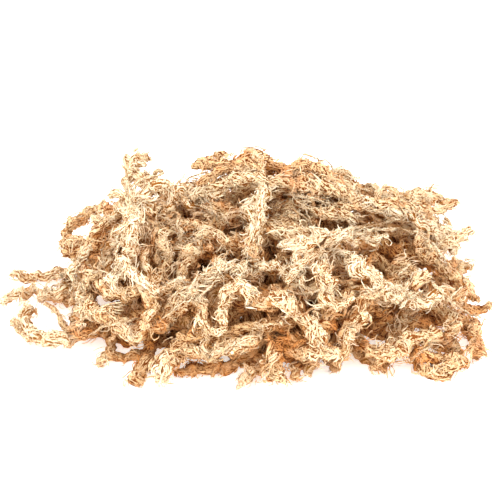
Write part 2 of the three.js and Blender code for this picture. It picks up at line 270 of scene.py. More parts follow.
@dataclass(frozen=True)
class MossFinish:
    """Dry moss: pale fibres with painted shade in the grooves, rusty in patches, and painted shade where the
    heap hides it.

    Attributes:
        tone: The slot that it is for.
        pale: The colour of the leaf tips.
        body: The main colour.
        deep: Painted shade in the grooves between fibres and at the branches' roots and notches, also dark
            specks.
        painted_half_shade: Painted half-shade, the colour between the grooves and the fibres.
        rust: The colour of old patches.
        olive: The colour of the few patches that stayed a little green.
        painted_heap_shade: Painted shade, the colour where the heap hides the surface from most directions.
        rust_share: How much rust the strand has.
        specks_cut: How much the specks move the edge of a groove.
        shade_cut: How much a branch's own shade moves it.
        fibres_cut: How much the body's fibres move it.
    """

    tone: Tone
    pale: Colour
    body: Colour
    deep: Colour
    painted_half_shade: Colour = rgb(0xC99660)
    rust: Colour = rgb(0xCC7C3C)
    olive: Colour = rgb(0xC9AC6A)
    painted_heap_shade: Colour = rgb(0xBA7020)
    rust_share: float = 0.3
    patch: float = 8 * MM
    speck: float = 0.5 * MM
    stripes: float = 4.5
    stripe_length: float = 2.2 * MM
    specks_cut: float = 0.85
    shade_cut: float = 0.6
    fibres_cut: float = 1.3
    olive_mix: float = 0.35
    rust_mix: float = 0.8
    painted_heap_shade_mix: float = 0.74
    relief: float = 0.3 * MM
    relief_strength: float = 0.6
    roughness: float = 0.85
    specular: float = 0.2

    def material(self) -> bpy.types.Material:
        """Builds the material.

        Returns:
            The material, named after its slot.
        """
        material = bpy.data.materials.new(self.tone.value)
        material.use_nodes = True
        material.node_tree.nodes.clear()
        graph = Graph(material.node_tree)
        place = graph.add("ShaderNodeTexCoord", output="Object")
        shade, tip, body = (self.attribute(graph, name) for name in ("shade", "tip", "body"))
        # Painted shade: shelter, the share of looks that the heap blocks, makes the colour browner and
        # darker below.
        shelter = self.attribute(graph, "shelter").between(0.16, 0.7)
        patches = self.noise(graph, place, self.patch, 2.0).between(0.35, 0.65)
        specks = self.noise(graph, place, self.speck, 1.0).between(0.3, 0.7)
        fibres = self.fibres(graph)
        # Painted shade: grown is low between the body's stripes, at the branches' roots and notches, and on
        # random dark specks and branches.
        grown = tip + (specks - 0.5) * self.specks_cut + (shade - BODY_SHADE) * self.shade_cut
        grown = (grown + body * (fibres - 0.5) * self.fibres_cut).between(0.0, 0.5)
        # Paler at the tips and at random, and less pale where the heap hides the surface: partly painted
        # shade.
        paleness = (tip * 0.4 + shade * 0.5 + specks * 0.3 - shelter * 0.3 - 0.25).between(0.0, 0.75)
        # Rust in random patches and on dark branches, and painted shade: more of it where the heap hides the
        # surface.
        rust_and_shade = (1 - shade) * 0.4 + patches * 0.7 + shelter * 0.3 - (1.1 - self.rust_share)
        rust_and_shade = rust_and_shade.between(0.0, 0.35) * self.rust_mix
        green = (shade - patches).between(0.45, 0.9) * self.olive_mix
        colour = self.mix(graph, green, self.body, self.olive)
        colour = self.mix(graph, paleness, colour, self.pale)
        colour = self.mix(graph, rust_and_shade, colour, self.rust)
        # Painted shade where the heap hides the surface.
        colour = self.mix(graph, shelter * self.painted_heap_shade_mix, colour, self.painted_heap_shade)
        # Painted half-shade, then painted shade, where grown is low.
        colour = self.mix(graph, grown.between(0.3, 1.0), self.painted_half_shade, colour)
        colour = self.mix(graph, grown.between(0.0, 0.5), self.deep, colour)
        height = specks * 0.4 + body * fibres
        bump = graph.add(
            "ShaderNodeBump", {"Strength": self.relief_strength, "Distance": self.relief, "Height": height}
        )
        surface = graph.add(
            "ShaderNodeBsdfPrincipled",
            {"Base Color": colour, "Roughness": self.roughness - specks * 0.12, "Normal": bump},
        )
        surface.socket.node.inputs["Specular IOR Level"].default_value = self.specular
        graph.node("ShaderNodeOutputMaterial", {"Surface": surface})
        return material

    def attribute(self, graph: Graph, name: str) -> Wire:
        """Reads a number that the mesh carries."""
        return graph.add("ShaderNodeAttribute", output="Fac", attribute_name=name)

    def fibres(self, graph: Graph) -> Wire:
        """Adds stripes that follow a strand's body.

        Args:
            graph: The material's graph.

        Returns:
            The stripes, 0 in the grooves and 1 on the fibres. The material raises the fibres and paints
            shade in the grooves.
        """
        ring = graph.add("ShaderNodeAttribute", output="Vector", attribute_name="ring")
        way = self.attribute(graph, "along") / self.stripe_length
        along = graph.add("ShaderNodeCombineXYZ", {"Z": way})
        place = graph.vector("ADD", graph.vector("SCALE", ring, Scale=self.stripes), along)
        values = {"Vector": place, "Scale": 1.0, "Detail": 2.0, "Distortion": 0.7}
        return graph.add("ShaderNodeTexNoise", values).between(0.36, 0.62)

    def noise(self, graph: Graph, place: Wire, size: float, detail: float) -> Wire:
        """Adds a noise whose lumps are about size metres across, with so many octaves of detail."""
        values = {"Vector": place, "Scale": 1 / size, "Detail": detail}
        return graph.add("ShaderNodeTexNoise", values)

    def mix(self, graph: Graph, share: Wire, low: Colour | Wire, high: Colour | Wire) -> Wire:
        """Mixes two colours.

        Args:
            graph: The material's graph.
            share: How much there is of the second colour, from 0 to 1.
            low: The first colour.
            high: The second colour.

        Returns:
            The mixed colour.
        """
        ends = {key: (*c, 1) if isinstance(c, tuple) else c for key, c in ((6, low), (7, high))}
        node = graph.node("ShaderNodeMix", {0: share, **ends}, data_type="RGBA")
        return graph.output(node, "Result")


FINISHES = (
    MossFinish(Tone.STRAW, pale=rgb(0xEAD7BF), body=rgb(0xE9D8AC), deep=rgb(0x784010), rust_share=0.26),
    MossFinish(Tone.CREAM, pale=rgb(0xEEDDC6), body=rgb(0xEBE0BC), deep=rgb(0x855018), rust_share=0.18),
    MossFinish(Tone.TAN, pale=rgb(0xE9D0B7), body=rgb(0xE1CA99), deep=rgb(0x6C3608), rust_share=0.38),
    MossFinish(Tone.RUST, pale=rgb(0xEBCAA8), body=rgb(0xDDBB86), deep=rgb(0x642C04), rust_share=0.46),
    MossFinish(Tone.STEM, pale=rgb(0xF2E3CE), body=rgb(0xF0E0BA), deep=rgb(0x82541C), rust_share=0.1),
)


# ---- A strand's middle ----


@dataclass
class Spine:
    """The middle of a strand, from its old end to its growing end, and how far it reaches out there."""

    places: np.ndarray
    reach: np.ndarray

    @staticmethod
    def of(node: str, step: float = 1.5 * MM, window: float = 2.6 * MM) -> "Spine":
        """Finds the middle of a strand of the frame.

        Args:
            node: The strand's node.
            step: How far apart the places are.
            window: How far to both sides the corners count that a place is the mean of.

        Returns:
            The spine.
        """
        corners, links = merged(frame["nodes"][node])
        first = int(np.argmax(distances(corners, links, 0)))
        along = distances(corners, links, first)
        stops = np.arange(0, along.max() + step, step)
        weights = np.exp(-(((along[None] - stops[:, None]) / window) ** 2))
        weights /= weights.sum(axis=1, keepdims=True)
        places = weights @ corners
        places = np.vstack([corners[along.argmin()], places[1:-1], corners[along.argmax()]])
        out = np.linalg.norm(corners[None] - places[:, None], axis=2)
        reach = (weights * out).sum(axis=1)
        spine = Spine(places, reach)
        old, young = reach[: len(reach) // 3].mean(), reach[-len(reach) // 3 :].mean()
        return spine if old < young else spine.reversed()

    def reversed(self) -> "Spine":
        """Gives the spine from its other end."""
        return Spine(self.places[::-1].copy(), self.reach[::-1].copy())


@dataclass(frozen=True)
class View:
    """Where the camera stands, and what a pixel of its picture is on the heap."""

    azimuth: float = 0.0
    elevation: float = math.radians(30)
    distance: float = 1.1
    pixel: float = 0.362 * MM
    image: int = 500
    origin_pixel: Pixel = (245.5, 312.0)

    @property
    def back(self) -> Vector:
        """The way from the heap to the camera."""
        across = math.cos(self.elevation)
        return Vector((
            math.sin(self.azimuth) * across, -math.cos(self.azimuth) * across, math.sin(self.elevation)
        ))

    @property
    def right(self) -> Vector:
        """The way to the right side of the picture."""
        return Vector((math.cos(self.azimuth), math.sin(self.azimuth), 0))

    @property
    def over(self) -> Vector:
        """The way to the top of the picture."""
        return self.back.cross(self.right)

    def at(self, pixel: Pixel) -> Vector:
        """Gives the point that a pixel shows, on the plane through the origin that faces the camera."""
        across, down = (pixel[k] - self.origin_pixel[k] for k in range(2))
        return self.right * across * self.pixel - self.over * down * self.pixel

    @property
    def eye(self) -> Vector:
        """Where the camera stands."""
        return self.at((self.image / 2, self.image / 2)) + self.back * self.distance


@dataclass
class Heap:
    """All the strands of the frame together, on a table, as one surface that rays can hit.

    Attributes:
        table: Half the side of the table.
        edge: How high the heap is at least over a piece that lies inside it.
        hollow: How deep the hollows are that a piece on the heap may pass.
        belt: The lowest and highest place where such a piece starts, as shares of the heap's height.
        inner_area: The share of the heap's floor that the pieces inside it start from.
        inner_height: The lowest and highest place inside it, as shares of its height there.
        inner_bend: How far such a piece may turn at each step, in radians.
        inner_lowest: How near the table its middle may come.
    """

    table: float = 0.4
    edge: float = 8 * MM
    hollow: float = 9 * MM
    belt: tuple[float, float] = (0.1, 0.97)
    inner_area: float = 0.6
    inner_height: tuple[float, float] = (0.1, 0.92)
    inner_bend: float = 0.08
    inner_lowest: float = 2.2 * MM
    tree: BVHTree = field(init=False)
    middle: Vector = field(init=False)
    half: Vector = field(init=False)
    piece: bpy.types.Object = field(init=False)

    def __post_init__(self) -> None:
        """Gathers the frame's faces."""
        corners, faces = [], []
        for piece in frame["nodes"].values():
            base = len(corners)
            corners += [tuple(v.co) for v in piece.data.vertices]
            faces += [[base + v for v in f.vertices] for f in piece.data.polygons]
        self.tree = BVHTree.FromPolygons(corners, faces)
        low, high = (Vector(corner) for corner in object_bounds())
        self.middle = (low + high) / 2
        self.half = Vector(((high.x - low.x) / 2, (high.y - low.y) / 2, high.z))
        base, t = len(corners), self.table
        corners += [(-t, -t, 0), (t, -t, 0), (t, t, 0), (-t, t, 0)]
        faces.append([base, base + 1, base + 2, base + 3])
        self.piece = bpy.data.objects.new("heap", closed_mesh("heap", corners, faces))
        bpy.context.scene.collection.objects.link(self.piece)

    def remove(self) -> None:
        """Removes the surface once nothing needs it."""
        bpy.data.objects.remove(self.piece)

    def depth(self, start: Vector, way: Vector) -> float:
        """Measures how far away the heap is.

        Args:
            start: Where the ray starts.
            way: Its direction.

        Returns:
            The distance to the heap, or to the place beside the ray where it comes closest.
        """
        hit = self.tree.ray_cast(start, way)[3]
        if hit is not None:
            return hit
        far = (CORE - start).dot(way)
        for _ in range(4):
            far = (self.tree.find_nearest(start + way * far)[0] - start).dot(way)
        return far

    def lie(self, starts: list[Vector], ways: list[Vector], lift: float, still: float = 2.5) -> np.ndarray:
        """Lays a line on the heap.

        Args:
            starts: For each place of the line, a point that it is looked at from.
            ways: The directions that lead from there to the heap.
            lift: How far the line lies out of the strands.
            still: How many neighbours to both sides count for the depth of a place.

        Returns:
            The places of the line. Over a hollow the line goes straight on.
        """
        depths = [self.depth(start, way) for start, way in zip(starts, ways)]
        span = int(2 * still)
        nearest = [min(depths[max(0, k - span) : k + span + 1]) for k in range(len(depths))]
        kept = smoothed(np.array(nearest), still) - lift
        line = np.array([start + way * float(far) for start, way, far in zip(starts, ways, kept)])
        line[:, 2] = np.maximum(line[:, 2], LOWEST_MIDDLE)
        return line

    def seen(
        self, view: View, points: list[Pixel], lift: float, still: float, step: float = 2.0
    ) -> np.ndarray:
        """Lays a line on the heap where the camera sees it.

        Args:
            view: The camera's view.
            points: The pixels that the line passes.
            lift: How far the line lies out of the strands.
            still: How many places to both sides count for the depth of one.
            step: How many pixels apart its places are.

        Returns:
            The places of the line.
        """
        ways = [(view.at(tuple(pixel)) - view.eye).normalized() for pixel in spread(points, step)]
        return self.lie([view.eye] * len(ways), ways, lift, still)

    def wander(
        self, draw: np.random.Generator, length: float, lift: float, bend: float, step: float = 0.8 * MM
    ) -> np.ndarray:
        """Lays a line on the heap from any place on it, in any direction.

        Args:
            draw: The random draws.
            length: The line's length.
            lift: How far the line lies out of the strands.
            bend: How far it may turn at each step, in radians.
            step: How far apart its places are.

        Returns:
            The places of the line.
        """
        middle = Vector((self.middle.x, self.middle.y, 0))
        turn, height = draw.uniform(0, 2 * math.pi), draw.uniform(*self.belt)
        across = math.sqrt(1 - height * height)
        out = Vector((across * math.cos(turn), across * math.sin(turn), height))
        heading, turning = draw.uniform(0, 2 * math.pi), draw.uniform(-bend, bend)
        starts, ways = [], []
        for _ in range(int(length / step)):
            place = Vector(out[k] * self.half[k] for k in range(3))
            level = Vector(out[k] / self.half[k] for k in range(3)).normalized()
            starts.append(middle + place + level * self.half.z)
            ways.append(-level)
            side = level.orthogonal().normalized()
            place += (side * math.cos(heading) + level.cross(side) * math.sin(heading)) * step
            out = Vector(place[k] / self.half[k] for k in range(3)).normalized()
            heading += turning
        hits = [self.tree.ray_cast(start, way)[3] for start, way in zip(starts, ways)]
        if None in hits or max(hits) - min(hits) > self.hollow:
            return self.wander(draw, length, lift, bend, step)
        return self.lie(starts, ways, lift)

    def within(self, draw: np.random.Generator, length: float, step: float = 1.0 * MM) -> np.ndarray:
        """Lays a line through the inside of the heap, about level with the ground.

        Args:
            draw: The random draws.
            length: The line's length.
            step: How far apart its places are.

        Returns:
            The places of the line, each at the same share of the heap's height there.
        """
        turn, far = draw.uniform(0, 2 * math.pi), math.sqrt(draw.uniform(0.0, self.inner_area))
        x = self.middle.x + self.half.x * far * math.cos(turn)
        y = self.middle.y + self.half.y * far * math.sin(turn)
        share = draw.uniform(*self.inner_height)
        heading, bend = draw.uniform(0, 2 * math.pi), draw.uniform(-self.inner_bend, self.inner_bend)
        line, tops = [], []
        for _ in range(int(length / step)):
            hit = self.tree.ray_cast(Vector((x, y, 1.0)), Vector((0, 0, -1)))[0]
            line.append((x, y))
            tops.append(hit.z if hit is not None else 0.0)
            x += step * math.cos(heading)
            y += step * math.sin(heading)
            heading += bend
        tops = smoothed(np.array(tops), 5.0)
        if tops.min() < self.edge:
            return self.within(draw, length, step)
        return np.column_stack([np.array(line), np.maximum(share * tops, self.inner_lowest)])


def smoothed(values: np.ndarray, width: float) -> np.ndarray:
    """Evens out a row of numbers, or of places.

    Args:
        values: The numbers or places.
        width: How many of them to each side count.

    Returns:
        The smooth row.
    """
    steps = np.arange(len(values))
    weights = np.exp(-(((steps[:, None] - steps[None]) / width) ** 2))
    return (weights / weights.sum(axis=1, keepdims=True)) @ values


def spread(points: list[Pixel], step: float) -> np.ndarray:
    """Puts points at even steps on the smooth curve through a few given ones.

    Args:
        points: The given points.
        step: How far apart the new ones are.

    Returns:
        The new points.
    """
    rough = np.array(points, dtype=float)
    along = np.concatenate([[0], np.cumsum(np.linalg.norm(np.diff(rough, axis=0), axis=1))])
    stops = np.linspace(0, along[-1], max(3, int(along[-1] / step) + 1))
    even = np.stack([np.interp(stops, along, rough[:, k]) for k in range(rough.shape[1])], axis=1)
    soft = smoothed(even, 2.5)
    soft[0], soft[-1] = even[0], even[-1]
    return soft


def merged(piece: bpy.types.Object) -> tuple[np.ndarray, dict[int, set[int]]]:
    """Joins the corners of a mesh that lie at the same place.

    Args:
        piece: The object whose mesh is read.

    Returns:
        The places of the corners, and each corner's neighbours along the edges.
    """
    mesh = piece.data
    places = np.zeros(len(mesh.vertices) * 3)
    mesh.vertices.foreach_get("co", places)
    corners, which = np.unique(np.round(places.reshape(-1, 3), 6), axis=0, return_inverse=True)
    links: dict[int, set[int]] = {i: set() for i in range(len(corners))}
    for edge in mesh.edges:
        a, b = (int(which.ravel()[v]) for v in edge.vertices)
        if a != b:
            links[a].add(b)
            links[b].add(a)
    return corners, links


def distances(corners: np.ndarray, links: dict[int, set[int]], start: int) -> np.ndarray:
    """Measures the shortest way along the edges from one corner to each other one.

    Args:
        corners: The places of the corners.
        links: Each corner's neighbours.
        start: The corner to start from.

    Returns:
        The distances, in metres.
    """
    found = np.full(len(corners), np.inf)
    found[start] = 0.0
    queue = [(0.0, start)]
    while queue:
        distance, here = heapq.heappop(queue)
        if distance > found[here]:
            continue
        for there in links[here]:
            new = distance + float(np.linalg.norm(corners[there] - corners[here]))
            if new < found[there]:
                found[there] = new
                heapq.heappush(queue, (new, there))
    found[np.isinf(found)] = 0.0
    return found


# ---- Branches ----


@dataclass
class Branch:
    """One thin curled branch. It grows along +Z on a strand's surface, and +X is the way out of the strand.

    Its leaves lie on each other like scales: each ring of the branch is turned by half a side from the last
    one, and wide rings, the leaf tips, take turns with narrow ones.

    Attributes:
        rise: How far it points out of the strand at its root, in radians.
        bend: How far it bends back towards the strand.
        curl: How far it turns aside.
        sway: How wide its waves are.
        waves: How long they are, in radians from root to tip.
        flat: Its thickness, as a share of its width.
        notch: How much wider the leaf tips are than the places between them.
        taper: How much thinner it gets towards its tip.
    """

    name: str
    length: float = 5.0 * MM
    radius: float = 0.36 * MM
    rise: float = 0.5
    bend: float = 1.2
    curl: float = 0.0
    sway: float = 0.6
    waves: float = 4.2
    flat: float = 0.8
    rings: int = 5
    sides: int = 3
    notch: float = 0.24
    taper: float = 0.25
    seed: int = 1

    def places(self) -> tuple[np.ndarray, np.ndarray]:
        """Follows the branch's middle.

        Returns:
            The middle of each ring, with the tip last, and the directions ahead.
        """
        steps = np.linspace(0, 1, self.rings + 1)
        pitch = self.rise - self.bend * steps
        yaw = self.curl * steps + self.sway * np.sin(self.waves * steps + self.seed)
        ahead = np.stack([np.sin(pitch), np.cos(pitch) * np.sin(yaw), np.cos(pitch) * np.cos(yaw)], axis=1)
        return np.vstack([np.zeros(3), np.cumsum(ahead[:-1] * self.length / self.rings, axis=0)]), ahead

    def mesh(self) -> bpy.types.Mesh:
        """Builds the branch.

        Returns:
            The mesh, with the attribute tip, which is 0 in the notches at the root and 1 at the far tips;
            the material paints shade where it is low.
        """
        draw = np.random.default_rng(self.seed)
        places, ahead = self.places()
        points, tips, faces = [], [], []
        for k in range(self.rings):
            share = k / self.rings
            side = np.cross(ahead[k], [1, 0.1, 0])
            side /= np.linalg.norm(side)
            out = np.cross(side, ahead[k])
            wide = k % 2
            body = math.sin(math.pi * (0.25 + 0.5 * share)) * (1 - self.taper * share)
            radius = self.radius * body * (1 + self.notch * (2 * wide - 1)) * draw.uniform(0.85, 1.15)
            for corner in range(self.sides):
                angle = 2 * math.pi * (corner + 0.5 * wide) / self.sides
                reach = math.cos(angle) * side + self.flat * math.sin(angle) * out
                points.append(places[k] + radius * reach)
                # Painted shade: tip is lower towards the root and in the notches between the leaf tips.
                tips.append(0.1 + 0.6 * share + 0.3 * wide)
        for k in range(self.rings - 1):
            for corner in range(self.sides):
                a, b = self.sides * k + corner, self.sides * k + (corner + 1) % self.sides
                c, d = a + self.sides, b + self.sides
                faces += [(a, c, b), (b, c, d)] if k % 2 == 0 else [(a, c, d), (a, d, b)]
        last = self.sides * (self.rings - 1)
        points.append(0.4 * places[-2] + 0.6 * places[-1])
        tips.append(1.0)
        faces += [(last + c, len(points) - 1, last + (c + 1) % self.sides) for c in range(self.sides)]
        faces.append(tuple(range(self.sides)))
        return closed_mesh(self.name, points, faces, {"tip": tips})


def closed_mesh(
    name: str, points: list[Any], faces: list[Any], values: dict[str, list[float]] | None = None
) -> bpy.types.Mesh:
    """Makes a mesh with named values on its corners.

    Args:
        name: The mesh's name.
        points: The places of the corners.
        faces: The corners of each face.
        values: For each attribute's name, its value at each corner.

    Returns:
        The mesh.
    """
    mesh = bpy.data.meshes.new(name)
    mesh.from_pydata([tuple(p) for p in points], [], faces)
    for key, numbers in (values or {}).items():
        layer = mesh.attributes.new(key, "FLOAT", "POINT")
        layer.data.foreach_set("value", np.asarray(numbers, dtype=np.float32))
    mesh.update()
    return mesh


@dataclass
class BranchBox:
    """The branches that a strand is dressed with, in a collection."""

    lying: int = 20
    curled: int = 8
    knobs: int = 3
    hairs: int = 2
    collection: bpy.types.Collection | None = field(default=None, init=False)

    def kinds(self) -> list[Branch]:
        """Draws the shapes of the branches.

        Returns:
            Long ones that lie on the strand, ones that curl out of it, knobs and thin hairs.
        """
        draw = np.random.default_rng(5)
        made = []
        for k in range(self.lying):
            rise = draw.uniform(0.1, 0.4)
            made.append(Branch(
                f"a_lying_{k:02d}",
                length=draw.uniform(4.4, 8.0) * MM, radius=draw.uniform(0.18, 0.28) * MM,
                rise=rise, bend=rise + draw.uniform(0.2, 0.6), curl=draw.uniform(-2.3, 2.3),
                sway=draw.uniform(0.4, 1.1), waves=draw.uniform(4, 8), flat=draw.uniform(0.5, 0.9),
                notch=0.15, seed=k,
            ))
        for k in range(self.curled):
            made.append(Branch(
                f"b_curled_{k}",
                length=draw.uniform(3.0, 4.8) * MM, radius=draw.uniform(0.2, 0.3) * MM,
                rise=draw.uniform(0.4, 0.9), bend=draw.uniform(2.0, 3.4), curl=draw.uniform(-1.5, 1.5),
                sway=draw.uniform(0.2, 0.8), seed=20 + k,
            ))
        for k in range(self.knobs):
            made.append(Branch(
                f"c_knob_{k}",
                length=draw.uniform(1.8, 2.6) * MM, radius=draw.uniform(0.45, 0.6) * MM,
                rise=draw.uniform(0.3, 0.7), bend=draw.uniform(0.8, 1.6), rings=4, flat=0.5, seed=30 + k,
            ))
        for k in range(self.hairs):
            made.append(Branch(
                f"d_hair_{k}",
                length=draw.uniform(6.0, 9.0) * MM, radius=0.18 * MM, notch=0.0,
                rise=draw.uniform(0.3, 0.6), bend=draw.uniform(0.7, 1.3), sway=draw.uniform(0.6, 1.0),
                seed=40 + k,
            ))
        return made

    def fill(self) -> bpy.types.Collection:
        """Makes the branches.

        Returns:
            The collection that holds them.
        """
        self.collection = bpy.data.collections.new("branches")
        for branch in self.kinds():
            self.collection.objects.link(bpy.data.objects.new(branch.name, branch.mesh()))
        return self.collection

    def empty(self) -> None:
        """Removes the branches once the strands are made."""
        for piece in list(self.collection.objects):
            bpy.data.objects.remove(piece)
        bpy.data.collections.remove(self.collection)


@dataclass
class StrandTree:
    """The Geometry Nodes tree that makes a strand along a line: a ribbed body with branches all round it.

    Attributes:
        spacing: How far apart along the line the branches grow.
        bunch: How many branches grow in one bunch and look alike.
        lean: How far a bunch leans into and out of the strand, in radians.
        follow: How much of that is taken back where it lies across the strand, so that it hugs it.
        aside: How far a bunch turns aside.
        stray: How far a branch strays from its bunch.
        fan: How far round the strand a bunch spreads.
        root: Where the branches grow, as shares of the strand's reach.
        odd: The share of the branches whose shape is their own, not their bunch's.
        size: How much the branches differ in size.
        bunch_size: How much the bunches differ in size.
        small: How large the branches are on a strand that hardly reaches out.
        full_reach: The reach of a strand whose branches have their full size.
        lump: How far apart the lumps of a strand are.
        lumpy: The strand's reach between the lumps and on them, as shares of its mean.
        body: The body's radius, as a share of the strand's reach.
        rib: How deep the body's grooves are, as a share of its reach.
        rib_out: The share of a rib's height that lies inside the body.
        ribs: How many there are round it, about.
        rib_length: How long they are.
        twist: How much they wind round it, in radians a metre.
        look_from: Where the looks start, as a share of the strand's reach.
        look_far: How far they go.
        looks: Their directions: azimuth and elevation, in degrees.
        hidden: The share of looks that the heap blocks at a branch that nobody can see.
    """

    spacing: float = 0.162 * MM
    bunch: int = 8
    lean: tuple[float, float] = (-0.2, 0.42)
    follow: float = 0.9
    aside: tuple[float, float] = (-1.45, 1.45)
    stray: float = 0.26
    fan: float = 0.55
    root: tuple[float, float] = (0.6, 1.0)
    odd: float = 0.4
    size: tuple[float, float] = (0.8, 1.2)
    bunch_size: tuple[float, float] = (0.85, 1.15)
    small: float = 0.25
    full_reach: float = 2.9 * MM
    lump: float = 4.0 * MM
    lumpy: tuple[float, float] = (0.45, 1.35)
    body: float = 0.8
    body_step: float = 1.3 * MM
    body_sides: int = 12
    rib: float = 0.5
    rib_out: float = 0.6
    ribs: float = 2.4
    rib_length: float = 3.2 * MM
    twist: float = 150.0
    look_from: float = 1.35
    look_far: float = 0.08
    looks: tuple[tuple[float, float], ...] = (
        (0, 8), (90, 8), (180, 8), (270, 8), (0, 32), (60, 32), (120, 32), (180, 32), (240, 32), (300, 32),
        (30, 60), (150, 60), (270, 60), (0, 90),
    )
    hidden: float = 0.76
    tree: bpy.types.NodeTree | None = field(default=None, init=False)

    def socket(self, name: str, kind: str, side: str = "INPUT") -> bpy.types.NodeTreeInterfaceSocket:
        """Adds a named socket to the tree's interface."""
        return self.tree.interface.new_socket(name, in_out=side, socket_type=f"NodeSocket{kind}")

    def build(self) -> bpy.types.NodeTree:
        """Builds the tree.

        Returns:
            The tree.
        """
        self.tree = bpy.data.node_groups.new("leafy_strand", "GeometryNodeTree")
        for name, kind in (
            ("Line", "Geometry"), ("Branches", "Collection"), ("Kinds", "Int"), ("Heap", "Object"),
            ("Spacing", "Float"), ("Seed", "Int"), ("Finish", "Material"),
        ):
            self.socket(name, kind)
        self.socket("Strand", "Geometry", "OUTPUT")
        graph = Graph(self.tree)
        inputs = graph.node("NodeGroupInput")
        given = {s.name: Wire(graph, s) for s in inputs.outputs if s.name}
        heap = graph.add("GeometryNodeObjectInfo", {"Object": given["Heap"]}, output="Geometry")
        line = graph.add("GeometryNodeMeshToCurve", {"Mesh": given["Line"]})
        both = graph.node("GeometryNodeJoinGeometry")
        for part in (self.body_tube(graph, line, heap), self.branches(graph, line, heap, given)):
            self.tree.links.new(part.socket, both.inputs[0])
        real = graph.add("GeometryNodeRealizeInstances", {"Geometry": graph.output(both)})
        dressed = graph.add("GeometryNodeSetMaterial", {"Geometry": real, "Material": given["Finish"]})
        graph.node("NodeGroupOutput", {"Strand": dressed})
        return self.tree

    def draw(
        self, graph: Graph, seed: Wire, own: int, low: float, high: float, shared: Wire | None = None
    ) -> Wire:
        """Gives each point a random number of its own.

        Args:
            graph: The tree's graph.
            seed: The strand's seed.
            own: A number that tells this draw from the others.
            low: The lowest number.
            high: The highest number.
            shared: The number of the point's bunch, where all its branches get the same number.

        Returns:
            The number.
        """
        values = {"Min": low, "Max": high, "Seed": seed + own}
        if shared is not None:
            values["ID"] = shared
        return graph.add("FunctionNodeRandomValue", values, data_type="FLOAT")

    def number(self, graph: Graph, name: str) -> Wire:
        """Reads a number that the geometry carries."""
        return graph.add("GeometryNodeInputNamedAttribute", {"Name": name}, data_type="FLOAT")

    def lumps(self, graph: Graph, place: Wire) -> Wire:
        """Says how far the strand reaches out at a place on it.

        Args:
            graph: The tree's graph.
            place: The place.

        Returns:
            The reach there, as a share of the mean one.
        """
        lumps = graph.add("ShaderNodeTexNoise", {"Vector": place, "Scale": 1 / self.lump, "Detail": 1.0})
        low, high = self.lumpy
        return lumps.between(0.3, 0.7) * (high - low) + low

    def turn(self, graph: Graph, rotation: Wire, axis: tuple[int, int, int], angle: Wire) -> Wire:
        """Turns a rotation about one of its own axes by an angle."""
        by = graph.add("FunctionNodeAxisAngleToRotation", {"Axis": axis, "Angle": angle})
        return graph.add(
            "FunctionNodeRotateRotation", {"Rotation": rotation, "Rotate By": by}, rotation_space="LOCAL"
        )

    def store(self, graph: Graph, geometry: Wire, name: str, value: Any, domain: str = "POINT") -> Wire:
        """Adds a number to a geometry, under a name that the material reads."""
        values = {"Geometry": geometry, "Name": name, "Value": value}
        return graph.add("GeometryNodeStoreNamedAttribute", values, data_type="FLOAT", domain=domain)

    def blocked(self, graph: Graph, heap: Wire, start: Wire) -> Wire:
        """Looks from each place to where someone could stand, in all directions level with it and above it.

        Args:
            graph: The tree's graph.
            heap: The surface that the looks can meet.
            start: Where they start.

        Returns:
            The share of the looks that meet the heap.
        """
        values = {"Target Geometry": heap, "Source Position": start, "Ray Length": self.look_far}
        hits = []
        for azimuth, elevation in self.looks:
            way = Vector((0, math.cos(math.radians(elevation)), math.sin(math.radians(elevation))))
            way.rotate(Euler((0, 0, math.radians(azimuth))))
            hits.append(graph.add("GeometryNodeRaycast", {**values, "Ray Direction": way}))
        return sum(hits[1:], hits[0]) / len(hits)

    def branches(self, graph: Graph, line: Wire, heap: Wire, given: dict[str, Wire]) -> Wire:
        """Adds the branches, apart from those that nothing outside the heap can see.

        Args:
            graph: The tree's graph.
            line: The curve along the strand's middle.
            heap: The surface of all the strands.
            given: The tree's inputs.

        Returns:
            The branches, as instances.
        """
        seed = given["Seed"]
        points = graph.node(
            "GeometryNodeCurveToPoints", {"Curve": line, "Length": given["Spacing"]}, mode="LENGTH"
        )
        ahead, normal = graph.output(points, "Tangent"), graph.output(points, "Normal")
        place = graph.add("GeometryNodeInputPosition")
        index = graph.add("GeometryNodeInputIndex")
        bunch = (index * (1 / self.bunch)).math("FLOOR")
        straight = graph.add(
            "FunctionNodeAxesToRotation",
            {"Primary Axis": ahead, "Secondary Axis": normal},
            primary_axis="Z",
            secondary_axis="X",
        )
        around = bunch * GOLDEN_ANGLE + self.draw(graph, seed, 1, -self.fan, self.fan)
        upright = self.turn(graph, straight, (0, 0, 1), around)
        out = graph.add("FunctionNodeRotateVector", {"Vector": (1, 0, 0), "Rotation": upright})
        plain = self.number(graph, "reach")
        surface = graph.vector("ADD", place, graph.vector("SCALE", out, Scale=plain * self.body))
        reach = plain * self.lumps(graph, surface)
        root = self.draw(graph, seed, 2, *self.root)
        stray = (-self.stray, self.stray)
        aside = self.draw(graph, seed, 4, *self.aside, bunch) + self.draw(graph, seed, 8, *stray)
        rotation = self.turn(graph, upright, (1, 0, 0), aside)
        lean = self.draw(graph, seed, 3, *self.lean, bunch) + self.draw(graph, seed, 12, *stray)
        lean = lean - aside.math("SINE") ** 2 * self.follow
        rotation = self.turn(graph, rotation, (0, 1, 0), lean)
        offset = graph.vector("SCALE", out, Scale=reach * root)
        placed = graph.add(
            "GeometryNodeSetPosition", {"Geometry": graph.output(points, "Points"), "Offset": offset}
        )
        picked = graph.add(
            "GeometryNodeCollectionInfo",
            {"Collection": given["Branches"], "Separate Children": True, "Reset Children": True},
        )
        odd = self.draw(graph, seed, 13, 0.0, 1.0).math("LESS_THAN", self.odd)
        own, common = self.draw(graph, seed, 5, 0.0, 1.0), self.draw(graph, seed, 14, 0.0, 1.0, bunch)
        which = (common + (own - common) * odd) * given["Kinds"]
